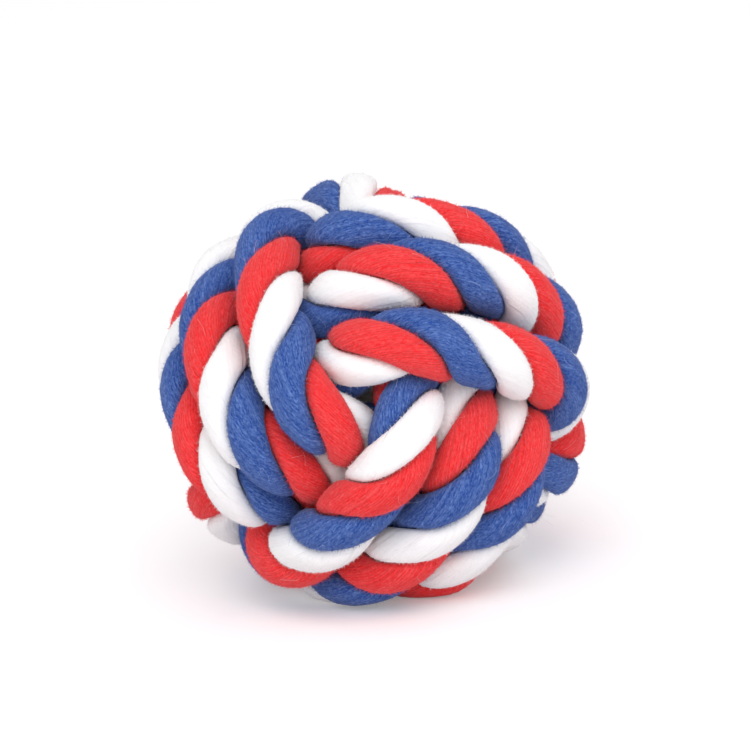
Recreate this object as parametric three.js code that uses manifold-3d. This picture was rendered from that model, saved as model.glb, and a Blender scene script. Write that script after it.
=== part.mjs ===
// Rope ball dog toy: one length of soft three-strand cotton rope, red, white and blue,
// tied as a round ball knot. Millimetres, +Z up, the flat underneath at Z = 0, the front
// of the ball towards -Y.
//
// The knot is three bands wound about a small cotton wad, each band square to the other two.
// A band goes round three times, and its three passes lie side by side.
// Over the top the first band runs outside the third, at the sides the second runs outside
// the first, and front and back the third runs outside the second.
// Seen on a corner the three bands chase each other round a small dark hole.
//
// How the rope gets its place:
// 1. each band is written as a rounded loop that creeps sideways, and a turn on a far
//    corner of the ball joins it to the next;
// 2. the rope is drawn tight: it shortens while passes that touch push each other apart;
// 3. three strands are laid round the rope and settle against their neighbours;
// 4. the ball is turned as it lies, and its underside is pressed and cut flat.

import * as THREE from 'three';
import { mergeVertices } from 'three/addons/utils/BufferGeometryUtils.js';
import Module from 'manifold-3d';

const wasm = await Module();
wasm.setup();

// Driving dimensions in millimetres

const passSpacing = 9.95;         // between the middles of two passes lying side by side
const layPitch = 25;              // rope length in which a strand goes once round
const strandGap = 0.5;            // between one strand and the next, and round the wad

// The strands, as shares of the pass spacing, so that a thicker rope has thicker strands

const strandShare = 0.362;        // one strand, drawn thinner than the pressed cotton
const layShare = 0.261;           // from the middle of the rope to the middle of a strand
const basePressShare = 0.25;      // how far the underside gives way where the ball lies

const strandDiameter = strandShare * passSpacing;
const layRadius = layShare * passSpacing;

// The knot, as shares of the pass spacing

const outerReachShare = 2.43;     // centre of the ball to an outer pass before tightening
const innerReachShare = 1.94;     // the same for a pass that lies beneath
const middleReachShare = 1.98;    // no pass comes nearer to the centre
const roundReachShare = 2.86;     // passes beyond this are pressed back in
const bandShiftShare = -0.154;    // the bands lie nearer to the front corner than to the back
const bandTiltShare = 0.357;      // how far a band leans to its first side where it is outside
const bandSwayShare = 0.245;      // and its drift from one end of a front pass to the other
const firstPassShare = 0.236;     // the first pass of a band is crowded further to that side
const cornerHandleShare = 2.05;   // how far a turn from band to band swings out

// The knot, in turns about a band's axis; whole turns are the middles of its front passes

const bandStartTurns = 0.5;       // each band begins behind its outer front face
const bandEndTurns = 3;
const halfBandTurns = 1.25;       // from the start of a band to the middle of its width
const firstPassEndTurns = 1.5;
const firstTailTurns = 0.2;       // rope before the first band, tucked under the second
const lastTailTurns = 0.33;       // rope after the last band, tucked under the first
const cornerTurns = 0.42;         // length of a turn from band to band, in points

// The shape of one pass

const diveExponent = 6.9;         // high: it stays outside until close to its neighbours
const leastReachShare = 0.485;    // of its reach, kept by a pass at the edge of the band

// The strands, in the order in which they come round the rope

const strandNames = ['blue_strand', 'white_strand', 'red_strand'];
const strandColours = [0x3c5a9a, 0xf4f3f0, 0xd83a3c];
const wadColour = 0xe9e4da;

// How far the strands have turned about the rope in the middle of each outer front pass,
// as the part of a turn after the blue strand faced outwards
const layTurnShares = [
  [0.35, 0.22, 0.65],
  [0.45, 0.59, 0.88],
  [0.99, 0.48, 0.25],
];

// How the finished ball lies, as directions in the axes of the knot
const downward = [-0.361, 0.647, -0.672];
const rightward = [-0.823, 0.234, 0.518];

// Cutting and measuring, as shares

const baseCutShare = 0.1;         // of the strand, how deep the lowest ones are cut flat
const cutterShare = 2;            // of the ball, the width of the block that cuts it
const gapSearchShare = 3;         // of the strand, how far round it the least gap is sought

// Fineness

const stepCountPerTurn = 48;      // points of the rope
const ringShare = 0.116;          // of the lay pitch, from one ring of a strand to the next
const sideCount = 5;              // corners of a ring
const wadSplitCount = 4;          // of each edge of the wad's twenty-sided start

// Drawing the rope tight: a count of rounds, and what is done in one round, as shares of
// the way that is missing

const tightenRoundCount = 800;
const tensionShare = 0.111;       // towards the middle of the two neighbours, fading to
const leastTensionShare = 0.01;
const fadeShare = 0.4;            // the last part of the rounds, in which tension fades
const stiffnessShare = 0.3;       // towards an even bend
const sidewaysHoldShare = 0.125;  // towards the place across the band
const reachHoldShare = 0.0254;    // towards the written reach
const roundPressShare = 0.766;    // back into the ball
const contactShare = 0.2;         // away from a pass that is too near
const neighbourShare = 1.5;       // of the thickness: points nearer along a line never push

// Letting the strands settle, in the same way

const settleRoundCount = 300;
const settleContactShare = 0.25;
const settleHoldShare = 0.001;    // towards the place where the strand was laid
const evenShare = 0.2;            // towards moving as far as its two neighbours do
const settleGapShare = 1.45;      // of the wanted gap, aimed at so that the gap is met
const hollowShare = 1.66;         // of the pass spacing: no strand comes nearer to the centre

// The axes of the knot, their places in a point, and how many values a point has
const axes = [new THREE.Vector3(1, 0, 0), new THREE.Vector3(0, 1, 0), new THREE.Vector3(0, 0, 1)];
const [X, Y, Z] = axes.keys();
const POINT = axes.length;

// How the ball lies
const down = new THREE.Vector3(...downward).normalize();
const right = new THREE.Vector3(...rightward);
right.addScaledVector(down, -right.dot(down)).normalize();

// Small helpers on flat arrays [x, y, z, x, y, z, ...]

function pathLength(path) {
  let length = 0;
  for (let i = 1; i < path.length / POINT; i += 1) {
    length += pointAt(path, i).distanceTo(pointAt(path, i - 1));
  }
  return length;
}

function pointAt(path, index) {
  return new THREE.Vector3().fromArray(path, POINT * index);
}

// The three bands. Each has a direction in which it lies outside, one in which it lies
// beneath, and one in which its passes lie side by side. In the axes of the knot x is the
// left face, y the lower right face and z the top face of the three that show.

const bands = [
  { outer: Z, inner: X, side: Y },
  { outer: X, inner: Y, side: Z },
  { outer: Y, inner: Z, side: X },
];

function sidewaysAt(turn) {
  const angle = 2 * Math.PI * turn;
  const creep = bandStartTurns + halfBandTurns - turn;
  const lean = bandTiltShare * Math.cos(angle) + bandSwayShare * Math.sin(angle);
  const crowd = turn < firstPassEndTurns ? firstPassShare * Math.max(Math.cos(angle), 0) : 0;
  return passSpacing * (creep + bandShiftShare + lean + crowd);
}

// A pass stays at its outer reach until close to where it dives under its neighbours
function reachAt(turn) {
  const dive = Math.abs(Math.sin(2 * Math.PI * turn)) ** diveExponent;
  return passSpacing * (outerReachShare + (innerReachShare - outerReachShare) * dive);
}

// A pass away from the middle of its band lies lower, so that the ball comes out round
function bandPoint(band, turn) {
  const angle = 2 * Math.PI * turn;
  const sideways = sidewaysAt(turn);
  const full = reachAt(turn);
  const reach = Math.sqrt(Math.max(full ** 2 - sideways ** 2, (leastReachShare * full) ** 2));
  return new THREE.Vector3()
    .addScaledVector(axes[band.outer], reach * Math.cos(angle))
    .addScaledVector(axes[band.inner], -reach * Math.sin(angle))
    .addScaledVector(axes[band.side], sideways);
}

// The rope before it is drawn tight. hold[i] is where a point of a band should stay and
// the axis that runs across its band; points of the corner turns are free.
function looseRope() {
  const points = [];
  const hold = [];
  const frontMiddles = [];
  bands.forEach((band, index) => {
    const start = index === 0 ? bandStartTurns - firstTailTurns : bandStartTurns;
    const end = index === bands.length - 1 ? bandEndTurns + lastTailTurns : bandEndTurns;
    const steps = Math.round((end - start) * stepCountPerTurn);
    for (let i = 0; i <= steps; i += 1) {
      const turn = start + ((end - start) * i) / steps;
      const pass = Math.round(turn);
      if (pass > 0 && Math.abs(turn - pass) * stepCountPerTurn < 1 / 2) {
        frontMiddles.push({ index: points.length, share: layTurnShares[index][pass - 1] });
      }
      const point = bandPoint(band, turn);
      points.push(point);
      hold.push({ axis: band.side, point: point.toArray() });
    }
    if (index === bands.length - 1) return;
    const next = bands[index + 1];
    const from = bandPoint(band, bandEndTurns);
    const to = bandPoint(next, bandStartTurns);
    const swing = cornerHandleShare * passSpacing;
    const corner = new THREE.CubicBezierCurve3(
      from,
      from.clone().addScaledVector(axes[band.inner], -swing),
      to.clone().addScaledVector(axes[next.inner], -swing),
      to,
    );
    const cornerSteps = Math.round(cornerTurns * stepCountPerTurn);
    for (let i = 1; i < cornerSteps; i += 1) {
      points.push(corner.getPoint(i / cornerSteps));
      hold.push(null);
    }
  });
  const path = new Float64Array(POINT * points.length);
  points.forEach((point, i) => point.toArray(path, POINT * i));
  return { path, hold, frontMiddles };
}

// One round of pulling: every point moves towards the middle of its two neighbours
function pull(path, share) {
  const old = path.slice();
  for (let i = POINT; i < path.length - POINT; i += 1) {
    path[i] = old[i] + share * ((old[i - POINT] + old[i + POINT]) / 2 - old[i]);
  }
}

// One round of stiffness: kinks are taken out without shortening the rope
function straighten(path, share) {
  const old = path.slice();
  const next = POINT;
  const afterNext = next + next;
  for (let i = afterNext; i < path.length - afterNext; i += 1) {
    const near = (old[i - next] + old[i + next]) / 2;
    const far = (old[i - afterNext] + old[i + afterNext]) / 2;
    path[i] = old[i] + share * (near + (near - far) / 3 - old[i]);
  }
}

// Keeps the points between two distances from the centre
function keepRound(path, least, most, share) {
  for (let i = 0; i < path.length / POINT; i += 1) {
    const point = pointAt(path, i);
    const reach = point.length();
    if (reach < least) point.setLength(least);
    if (reach > most) point.setLength(reach - share * (reach - most));
    point.toArray(path, POINT * i);
  }
}

// Pushes apart all pairs of points that are nearer than the given distance and at least
// skip points apart along the rope
function pushApart(path, distance, share, skip) {
  const count = path.length / POINT;
  const push = new Float64Array(path.length);
  for (let i = 0; i < count; i += 1) {
    const a = POINT * i;
    for (let j = i + skip; j < count; j += 1) {
      const b = POINT * j;
      const x = path[b + X] - path[a + X];
      if (x > distance || x < -distance) continue;
      const y = path[b + Y] - path[a + Y];
      if (y > distance || y < -distance) continue;
      const z = path[b + Z] - path[a + Z];
      const apart = Math.sqrt(x * x + y * y + z * z);
      if (apart >= distance) continue;
      const part = (share * (distance - apart)) / apart;
      push[a + X] -= part * x;
      push[a + Y] -= part * y;
      push[a + Z] -= part * z;
      push[b + X] += part * x;
      push[b + Y] += part * y;
      push[b + Z] += part * z;
    }
  }
  for (let i = 0; i < path.length; i += 1) path[i] += push[i];
}

// The rope drawn tight, and how far along it the middles of the front passes are
function tightRope() {
  const { path, hold, frontMiddles } = looseRope();
  const least = middleReachShare * passSpacing;
  const most = roundReachShare * passSpacing;
  for (let round = 0; round < tightenRoundCount; round += 1) {
    const fade = Math.min(1, (tightenRoundCount - round) / (fadeShare * tightenRoundCount));
    pull(path, tensionShare * fade + leastTensionShare);
    straighten(path, stiffnessShare);
    hold.forEach((place, i) => {
      if (place === null) return;
      [X, Y, Z].forEach((k) => {
        const share = k === place.axis ? sidewaysHoldShare : reachHoldShare;
        path[POINT * i + k] += share * (place.point[k] - path[POINT * i + k]);
      });
    });
    keepRound(path, least, most, roundPressShare);
    const step = pathLength(path) / (hold.length - 1);
    pushApart(path, passSpacing, contactShare, Math.ceil((neighbourShare * passSpacing) / step));
  }
  const marks = frontMiddles.map((mark) => ({
    at: pathLength(path.slice(0, POINT * (mark.index + 1))),
    share: mark.share,
  }));
  return { rope: path, marks };
}

// Points at even distances along a path
function evenPoints(path, count) {
  const step = pathLength(path) / (count - 1);
  const points = [pointAt(path, 0)];
  let passed = 0;
  for (let i = 1; i < path.length / POINT; i += 1) {
    const from = pointAt(path, i - 1);
    const to = pointAt(path, i);
    const length = from.distanceTo(to);
    while (points.length < count - 1 && points.length * step <= passed + length) {
      points.push(from.clone().lerp(to, (points.length * step - passed) / length));
    }
    passed += length;
  }
  points.push(pointAt(path, path.length / POINT - 1));
  return points;
}

// The turn of the lay along the rope. It has its given part of a turn in the middle of
// each outer front pass, as many whole turns between as come nearest to the pitch, and
// changes smoothly from one to the next.
function layTurns(marks) {
  const knots = [];
  marks.forEach((mark, i) => {
    if (i === 0) {
      knots.push({ at: mark.at, turns: mark.share });
      return;
    }
    const last = knots[i - 1];
    const wanted = last.turns + (mark.at - last.at) / layPitch;
    knots.push({ at: mark.at, turns: mark.share + Math.round(wanted - mark.share) });
  });
  const slopes = knots.map((knot, i) => {
    const before = knots[Math.max(i - 1, 0)];
    const after = knots[Math.min(i + 1, knots.length - 1)];
    return (after.turns - before.turns) / (after.at - before.at);
  });
  return (at) => {
    const last = knots.length - 1;
    if (at <= knots[0].at) return knots[0].turns + (at - knots[0].at) * slopes[0];
    if (at >= knots[last].at) return knots[last].turns + (at - knots[last].at) * slopes[last];
    const i = knots.findIndex((knot) => knot.at > at) - 1;
    const span = knots[i + 1].at - knots[i].at;
    const x = (at - knots[i].at) / span;
    const rise = knots[i + 1].turns - knots[i].turns;
    const bendBefore = slopes[i] * span - rise;
    const bendAfter = rise - slopes[i + 1] * span;
    return knots[i].turns + rise * x + x * (1 - x) * (bendBefore * (1 - x) + bendAfter * x);
  };
}

// The middles of the three strands, one strand after the other in a flat array.
// The turn about the rope is counted from the side that looks away from the centre.
function laidStrands(rope, marks) {
  const length = pathLength(rope);
  const count = Math.round(length / (ringShare * layPitch)) + 1;
  const middles = evenPoints(rope, count);
  const strands = new Float64Array(strandNames.length * POINT * count);
  const turnsAt = layTurns(marks);
  middles.forEach((middle, i) => {
    const before = middles[Math.max(i - 1, 0)];
    const after = middles[Math.min(i + 1, count - 1)];
    const along = after.clone().sub(before).normalize();
    const outward = middle.clone().addScaledVector(along, -middle.dot(along)).normalize();
    const across = along.clone().cross(outward);
    strandNames.forEach((name, strand) => {
      const turn = turnsAt((length * i) / (count - 1)) - strand / strandNames.length;
      const angle = 2 * Math.PI * turn;
      middle.clone()
        .addScaledVector(outward, layRadius * Math.cos(angle))
        .addScaledVector(across, layRadius * Math.sin(angle))
        .toArray(strands, POINT * (strand * count + i));
    });
  });
  return { strands, count };
}

// Where two straight pieces, each from a point to the next, come nearest to each other:
// the shares of the way along both, and the arrow from the second to the first
function nearestPlaces(path, i, j) {
  const u = [X, Y, Z].map((k) => path[POINT * (i + 1) + k] - path[POINT * i + k]);
  const v = [X, Y, Z].map((k) => path[POINT * (j + 1) + k] - path[POINT * j + k]);
  const w = [X, Y, Z].map((k) => path[POINT * i + k] - path[POINT * j + k]);
  const dot = (a, b) => a[X] * b[X] + a[Y] * b[Y] + a[Z] * b[Z];
  const clamp = (value) => Math.min(1, Math.max(0, value));
  const uu = dot(u, u);
  const uv = dot(u, v);
  const vv = dot(v, v);
  const uw = dot(u, w);
  const vw = dot(v, w);
  const guess = clamp((uv * vw - vv * uw) / (uu * vv - uv * uv));
  const second = clamp((uv * guess + vw) / vv);
  const first = clamp((uv * second - uw) / uu);
  const arrow = w.map((value, k) => value + first * u[k] - second * v[k]);
  return { first, second, arrow, apart: Math.hypot(...arrow) };
}

// Calls visit(i, j) for all pairs of pieces of the strands that are near each other but
// not neighbours along one strand
function nearPieces(strands, count, reach, visit) {
  const skip = Math.ceil((neighbourShare * strandDiameter) / (ringShare * layPitch)) + 1;
  const all = strands.length / POINT;
  for (let i = 0; i < all - 1; i += 1) {
    if (i % count === count - 1) continue;
    const a = POINT * i;
    for (let j = i + 1; j < all - 1; j += 1) {
      const b = POINT * j;
      const x = strands[b + X] - strands[a + X];
      if (x > reach || x < -reach) continue;
      const y = strands[b + Y] - strands[a + Y];
      if (y > reach || y < -reach) continue;
      const z = strands[b + Z] - strands[a + Z];
      if (z > reach || z < -reach) continue;
      if (j % count === count - 1) continue;
      if (j - i < skip && Math.floor(i / count) === Math.floor(j / count)) continue;
      visit(i, j);
    }
  }
}

// The strands give way to each other wherever they are nearer than their thickness and
// gap, the innermost give way to the wad, and the lowest to the surface on which the
// ball lies
function settle(strands, count) {
  const start = strands.slice();
  const distance = strandDiameter + settleGapShare * strandGap;
  const reach = distance + 2 * ringShare * layPitch;
  let lowest = 0;
  for (let i = 0; i < strands.length / POINT; i += 1) {
    lowest = Math.max(lowest, pointAt(strands, i).dot(down));
  }
  const surface = lowest - basePressShare * passSpacing;
  const least = hollowShare * passSpacing;
  for (let round = 0; round < settleRoundCount; round += 1) {
    const push = new Float64Array(strands.length);
    nearPieces(strands, count, reach, (i, j) => {
      const { first, second, arrow, apart } = nearestPlaces(strands, i, j);
      if (apart >= distance) return;
      const part = (settleContactShare * (distance - apart)) / apart;
      [X, Y, Z].forEach((k) => {
        push[POINT * i + k] += part * (1 - first) * arrow[k];
        push[POINT * (i + 1) + k] += part * first * arrow[k];
        push[POINT * j + k] -= part * (1 - second) * arrow[k];
        push[POINT * (j + 1) + k] -= part * second * arrow[k];
      });
    });
    const moved = strands.map((value, i) => value - start[i]);
    const share = evenShare * (1 - round / settleRoundCount);
    for (let i = 0; i < strands.length; i += 1) {
      const step = Math.floor(i / POINT) % count;
      const before = step > 0 ? moved[i - POINT] : moved[i];
      const after = step < count - 1 ? moved[i + POINT] : moved[i];
      const even = share * ((before + after) / 2 - moved[i]);
      strands[i] += push[i] + even - settleHoldShare * moved[i];
    }
    for (let i = 0; i < strands.length / POINT; i += 1) {
      const point = pointAt(strands, i);
      const below = point.dot(down) - surface;
      if (below > 0) point.addScaledVector(down, -below);
      if (point.length() < least) point.setLength(least);
      point.toArray(strands, POINT * i);
    }
  }
}

// The least gap left between two strands, or between far parts of one
function leastGap(strands, count) {
  let least = Infinity;
  nearPieces(strands, count, gapSearchShare * strandDiameter, (i, j) => {
    least = Math.min(least, nearestPlaces(strands, i, j).apart);
  });
  return least - strandDiameter;
}

// A tube of rings round a strand's middle line, closed at both cut ends
function strandGeometry(middles) {
  const count = middles.length;
  const positions = [];
  const indices = [];
  const side = new THREE.Vector3();
  middles.forEach((middle, i) => {
    const before = middles[Math.max(i - 1, 0)];
    const after = middles[Math.min(i + 1, count - 1)];
    const along = after.clone().sub(before).normalize();
    if (i === 0) side.crossVectors(along, axes[Z]);
    side.addScaledVector(along, -side.dot(along)).normalize();
    const across = along.clone().cross(side);
    for (let corner = 0; corner < sideCount; corner += 1) {
      const angle = (2 * Math.PI * corner) / sideCount;
      const point = middle.clone()
        .addScaledVector(side, (strandDiameter / 2) * Math.cos(angle))
        .addScaledVector(across, (strandDiameter / 2) * Math.sin(angle));
      positions.push(point.x, point.y, point.z);
    }
  });
  for (let i = 0; i < count - 1; i += 1) {
    for (let corner = 0; corner < sideCount; corner += 1) {
      const a = i * sideCount + corner;
      const b = i * sideCount + ((corner + 1) % sideCount);
      indices.push(a, b, b + sideCount, a, b + sideCount, a + sideCount);
    }
  }
  const last = (count - 1) * sideCount;
  for (let corner = 1; corner < sideCount - 1; corner += 1) {
    indices.push(0, corner + 1, corner, last, last + corner, last + corner + 1);
  }
  const geometry = new THREE.BufferGeometry();
  geometry.setAttribute('position', new THREE.Float32BufferAttribute(positions, POINT));
  geometry.setIndex(indices);
  return geometry;
}

// Solids

function solidFrom(source) {
  source.deleteAttribute('normal');
  source.deleteAttribute('uv');
  const geometry = mergeVertices(source);
  return new wasm.Manifold(new wasm.Mesh({
    numProp: POINT,
    vertProperties: new Float32Array(geometry.attributes.position.array),
    triVerts: new Uint32Array(geometry.index.array),
  }));
}

function meshFrom(solid, name, colour) {
  const data = solid.getMesh();
  const geometry = new THREE.BufferGeometry();
  geometry.setAttribute('position', new THREE.Float32BufferAttribute(data.vertProperties, POINT));
  geometry.setIndex(Array.from(data.triVerts));
  geometry.computeVertexNormals();
  const mesh = new THREE.Mesh(geometry, new THREE.MeshStandardMaterial({ color: colour, roughness: 1 }));
  mesh.name = name;
  return mesh;
}

// Winding the ball and turning it as it lies

const { rope, marks } = tightRope();
const { strands, count } = laidStrands(rope, marks);
settle(strands, count);

const ahead = new THREE.Vector3().crossVectors(right, down).normalize();
const up = down.clone().negate();
const lie = new THREE.Matrix4().makeBasis(right, ahead, up).transpose();

const lines = strandNames.map((name, strand) => {
  const line = [];
  for (let i = 0; i < count; i += 1) line.push(pointAt(strands, strand * count + i).applyMatrix4(lie));
  return line;
});

const tubes = lines.map((line) => strandGeometry(line));
const bounds = new THREE.Box3();
tubes.forEach((tube) => {
  tube.computeBoundingBox();
  bounds.union(tube.boundingBox);
});
const middle = bounds.getCenter(new THREE.Vector3());
const size = bounds.getSize(new THREE.Vector3());
const baseLevel = bounds.min.z + baseCutShare * strandDiameter;
const place = new THREE.Vector3(-middle.x, -middle.y, -baseLevel);

// The strands, cut flat where the ball stands on them

const group = new THREE.Group();
group.name = 'rope_ball_dog_toy';

const cutter = new THREE.BoxGeometry(cutterShare * size.x, cutterShare * size.y, size.z);
cutter.translate(0, 0, -size.z / 2);
const belowBase = solidFrom(cutter);

tubes.forEach((tube, i) => {
  tube.translate(...place.toArray());
  const strand = solidFrom(tube).subtract(belowBase);
  group.add(meshFrom(strand, strandNames[i], strandColours[i]));
});

// The wad of cotton that fills the middle

const wadRadius = hollowShare * passSpacing - strandDiameter / 2 - strandGap;
const wad = new THREE.IcosahedronGeometry(wadRadius, wadSplitCount);
wad.translate(...place.toArray());
group.add(meshFrom(solidFrom(wad), 'cotton_wad', wadColour));

const gap = leastGap(strands, count);
console.log(`rope length ${pathLength(rope).toFixed(0)} mm`);
console.log(`least gap between strands ${gap.toFixed(2)} mm`);
console.log(`ball ${size.x.toFixed(1)} x ${size.y.toFixed(1)} x ${size.z.toFixed(1)} mm`);

export default group;
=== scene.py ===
"""Rope ball dog toy: the looks of one length of soft three-strand cotton rope, red, white
and blue, tied as a round ball knot.

The CAD part holds three thin strands in their right places. Here the same strands are
made plump: each swells until it meets its neighbours, and its skin is made of yarns.
"""

import math

import bmesh
import bpy
import numpy as np
from mathutils import Matrix, Vector


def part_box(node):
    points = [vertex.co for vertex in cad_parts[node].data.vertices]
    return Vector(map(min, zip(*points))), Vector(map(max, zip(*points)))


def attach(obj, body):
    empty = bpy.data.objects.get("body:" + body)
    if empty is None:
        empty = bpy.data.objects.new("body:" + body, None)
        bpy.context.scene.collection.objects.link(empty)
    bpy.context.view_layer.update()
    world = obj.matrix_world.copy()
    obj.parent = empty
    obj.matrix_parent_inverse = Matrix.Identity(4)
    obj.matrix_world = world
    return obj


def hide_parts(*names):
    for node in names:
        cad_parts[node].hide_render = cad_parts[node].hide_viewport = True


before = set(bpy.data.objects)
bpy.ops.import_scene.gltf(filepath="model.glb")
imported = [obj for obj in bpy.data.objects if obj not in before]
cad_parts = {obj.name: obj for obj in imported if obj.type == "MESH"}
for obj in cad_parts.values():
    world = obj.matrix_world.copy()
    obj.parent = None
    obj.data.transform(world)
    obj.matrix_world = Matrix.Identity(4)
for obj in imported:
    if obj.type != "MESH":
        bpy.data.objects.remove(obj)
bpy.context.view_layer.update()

MM = 0.001

# Sizes of the rope and the knot, in millimetres, as in the part's own source

PASS_SPACING = 9.95
LAY_PITCH = 25.0
STRAND_GAP = 0.5
STRAND_DIAMETER = 0.362 * PASS_SPACING
LAY_RADIUS = 0.261 * PASS_SPACING
BASE_PRESS = 0.25 * PASS_SPACING

# The knot, as shares of the pass spacing
OUTER_REACH = 2.43
INNER_REACH = 1.94
MIDDLE_REACH = 1.98
ROUND_REACH = 2.86
BAND_SHIFT = -0.154
BAND_TILT = 0.357
BAND_SWAY = 0.245
FIRST_PASS = 0.236
CORNER_HANDLE = 2.05
HOLLOW = 1.66

# The knot, in turns about a band's axis
BAND_START = 0.5
BAND_END = 3.0
HALF_BAND_TURNS = 1.25
FIRST_PASS_END = 1.5
FIRST_TAIL = 0.2
LAST_TAIL = 0.33
CORNER_TURN = 0.42
DIVE_POWER = 6.9
LEAST_REACH = 0.485

# Where the lay has got to in the middle of each front pass, in turns
LAY_TURNS = (
    (0.35, 0.22, 0.65),
    (0.45, 0.59, 0.88),
    (0.99, 0.48, 0.25),
)

# How the ball lies, in the axes of the knot
DOWNWARD = (-0.361, 0.647, -0.672)
RIGHTWARD = (-0.823, 0.234, 0.518)

# Drawing tight and settling: counts of rounds, and shares of each move or length
STEPS_PER_TURN = 48
RING_SHARE = 0.116
TIGHTEN_ROUNDS = 800
TENSION = 0.111
LEAST_TENSION = 0.01
FADE = 0.4
STIFFNESS = 0.3
SIDEWAYS_HOLD = 0.125
REACH_HOLD = 0.0254
ROUND_PRESS = 0.766
CONTACT = 0.2
NEIGHBOUR = 1.5
SETTLE_ROUNDS = 300
SETTLE_CONTACT = 0.25
SETTLE_HOLD = 0.001
EVEN = 0.2
SETTLE_GAP = 1.45

# Each band: the axis in which it lies outside, the one in which it lies beneath, and the
# one in which its passes lie side by side
BANDS = ((2, 0, 1), (0, 1, 2), (1, 2, 0))

# Sizes of the cotton, in millimetres where nothing else is said

STRAND_RADIUS = 3.05  # of a strand where nothing presses on it
ROPE_RADIUS = 5.4  # the three strands of the rope press each other into this round
LEAST_CREST = 2.3  # of a strand that has been pushed out of the round
PRESS_GAP = 0.04  # between two strands that press together
SOFT_EDGE = 0.4  # how round the edge of a pressed face is
PRESS_REACH = 0.5  # a neighbour this much further than two radii off still counts
OWN_LENGTH = 3.2  # of itself, in radii, that a strand doesn't press against
LEAST_COSINE = 0.1  # a ray nearly along a face meets it no further off than this allows
RAYS = 72  # on which a strand's swelling is worked out
SOFTENINGS = 2  # how often it is evened out, so that pressed faces have no hard corners
RING_SPACING = 0.9
SPOTS_PER_POINT = 10  # at which a line is measured before it is cut into even steps
YARNS = 36  # yarns that show round one strand
COLUMNS_PER_YARN = 2
YARN_DEPTH = 0.05  # groove between two yarns
YARN_ROUNDNESS = 0.7  # power of the sine that a yarn's back follows
PRESSED_RELIEF = 0.4  # share of the yarns' relief that is left where strands press
YARN_SWELL = 0.07  # how much a yarn grows and shrinks along its way
YARN_DRIFT = 0.45  # how far a groove wanders, in yarn widths
YARN_BEAT = 6.0  # length over which it does so
SHADE_BEAT = 24.0  # length over which a yarn gets lighter or darker
YARN_TWIST = 1.93  # turns of the yarns back for each turn of the lay
PIECES_PER_STRAND = 3
CUT_WINDOW = 100  # rings to either side in which the deepest place for a cut is looked for

NAP_LENGTHS = (0.55, 0.45, 0.55)  # blue, white, red
NAP_RADIUS = 0.03  # where a tuft of the nap stands on its yarn
NAP_PER_MM2 = 6.8
NAP_CLEARANCE = 0.3  # how far neighbours must stay off where the nap stands
FLOOR_CLEARANCE = 2.0  # no loose fibre starts lower than this
FACING_GAIN = 3.0  # how quickly the nap thins towards the inside of the ball
FACING_START = 1.2  # and how far round that begins
LINT_RADIUS = 0.014
LINT_LENGTH = 2.0
LINT_POINTS = 6
LINT_PER_MM2 = 0.03
FIBRE_SIZES = (0.4, 1.3)  # least and most, as shares of a fibre's written size

WAD_LUMPS = 40
WAD_LUMP_RISE = 0.07  # of the wad's radius
WAD_LUMP_SHARPNESS = 10.0
WAD_SUBDIVISIONS = 5

STRAND_NAMES = ("blue_strand", "white_strand", "red_strand")


# The route of the rope


def sideways_at(turn):
    """How far across its band the rope is."""
    angle = 2 * math.pi * turn
    creep = BAND_START + HALF_BAND_TURNS - turn
    lean = BAND_TILT * math.cos(angle) + BAND_SWAY * math.sin(angle)
    crowd = FIRST_PASS * max(math.cos(angle), 0) if turn < FIRST_PASS_END else 0
    return PASS_SPACING * (creep + BAND_SHIFT + lean + crowd)


def band_point(band, turn):
    """A point of a band before the rope is drawn tight."""
    outer, inner, side = band
    angle = 2 * math.pi * turn
    dive = abs(math.sin(angle)) ** DIVE_POWER
    full = PASS_SPACING * (OUTER_REACH + (INNER_REACH - OUTER_REACH) * dive)
    sideways = sideways_at(turn)
    reach = math.sqrt(max(full**2 - sideways**2, (LEAST_REACH * full) ** 2))
    point = np.zeros(3)
    point[outer] = reach * math.cos(angle)
    point[inner] = -reach * math.sin(angle)
    point[side] = sideways
    return point


def loose_rope():
    """The written route, where each point should stay, how firmly along each axis, and
    the points in the middle of the front passes."""
    points = []
    hold = []
    front_middles = []
    for index, band in enumerate(BANDS):
        start = BAND_START - (FIRST_TAIL if index == 0 else 0)
        end = BAND_END + (LAST_TAIL if index == 2 else 0)
        steps = round((end - start) * STEPS_PER_TURN)
        for i in range(steps + 1):
            turn = start + (end - start) * i / steps
            front = round(turn)
            if front > 0 and abs(turn - front) * STEPS_PER_TURN < 0.5:
                front_middles.append((len(points), LAY_TURNS[index][front - 1]))
            points.append(band_point(band, turn))
            firmness = np.full(3, REACH_HOLD)
            firmness[band[2]] = SIDEWAYS_HOLD
            hold.append(firmness)
        if index == 2:
            break
        following = BANDS[index + 1]
        swing = CORNER_HANDLE * PASS_SPACING
        corner = [band_point(band, BAND_END) for _ in range(2)]
        corner += [band_point(following, BAND_START) for _ in range(2)]
        corner[1][band[1]] -= swing
        corner[2][following[1]] -= swing
        corner_steps = round(CORNER_TURN * STEPS_PER_TURN)
        for i in range(1, corner_steps):
            t = i / corner_steps
            weights = ((1 - t) ** 3, 3 * t * (1 - t) ** 2, 3 * t**2 * (1 - t), t**3)
            points.append(sum(w * p for w, p in zip(weights, corner)))
            hold.append(np.zeros(3))
    return np.array(points), np.array(hold), front_middles


def lengths_along(path):
    """The length passed at each point of a path."""
    steps = np.linalg.norm(np.diff(path, axis=0), axis=1)
    return np.concatenate(([0], np.cumsum(steps)))


def near_pairs(points, distance, skip):
    """All pairs of points nearer than a distance and at least skip points apart."""
    squares = (points**2).sum(axis=1)
    apart = squares[:, None] + squares[None, :] - 2 * points @ points.T
    first, second = np.nonzero(apart < distance**2)
    keep = second - first >= skip
    return first[keep], second[keep]


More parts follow.
